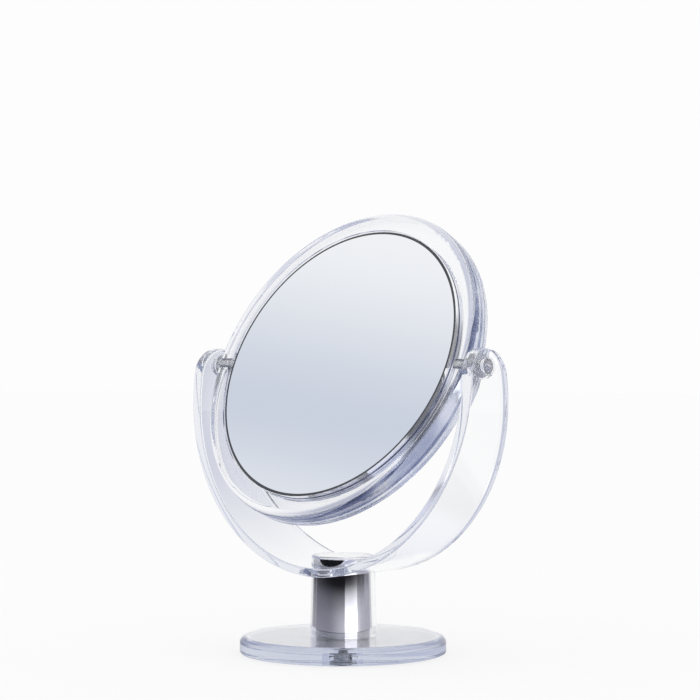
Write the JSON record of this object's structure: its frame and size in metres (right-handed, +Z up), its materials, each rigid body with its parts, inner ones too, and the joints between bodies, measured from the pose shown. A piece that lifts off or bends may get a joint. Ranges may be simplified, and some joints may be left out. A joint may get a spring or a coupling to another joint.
{
  "type": "table mirror",
  "caption": "Round two-sided mirror in a clear ring that tips on pins between the arms of a clear yoke, on a sleeved neck and a flat round base.",
  "frame": {"origin": "centre of the underside of the base, on the surface that the mirror stands on", "axes": "+Z up, +X along the pivot axis towards the right arm of someone who looks into the front glass, -Y towards that person"},
  "size_m": [0.1812, 0.099, 0.2118],
  "materials": {
    "clear_plastic": "clear, moulded and polished",
    "mirror_glass": "polished, silvered at the back",
    "bright_chrome": "bright plated",
    "core_plastic": "moulded, matt",
    "natural_nylon": "natural, translucent",
    "pad_vinyl": "translucent, satin",
    "mounting_tape": "white foam tape",
    "screw_steel": "zinc plated",
    "insert_brass": "turned"
  },
  "bodies": {
    "stand": {"base_disc": "clear_plastic", "base_pad": "pad_vinyl", "base_screw": "screw_steel", "screw_washer": "screw_steel", "threaded_insert": "insert_brass", "neck_core": "core_plastic", "chrome_sleeve": "bright_chrome", "yoke": "clear_plastic", "left_pivot_bush": "natural_nylon", "right_pivot_bush": "natural_nylon"},
    "mirror_head": {"front_ring": "clear_plastic", "rear_ring": "clear_plastic", "front_mirror": "mirror_glass", "rear_mirror": "mirror_glass", "front_tape": "mounting_tape", "rear_tape": "mounting_tape", "left_pivot_pin": "clear_plastic", "right_pivot_pin": "clear_plastic", "left_friction_washer": "natural_nylon", "right_friction_washer": "natural_nylon"}
  },
  "joints": [
    {"name": "head_tilt", "type": "hinge", "parent": "stand", "child": "mirror_head", "pos_m": [0, 0, 0.13754], "axis": [1, 0, 0], "continuous": true}
  ]
}
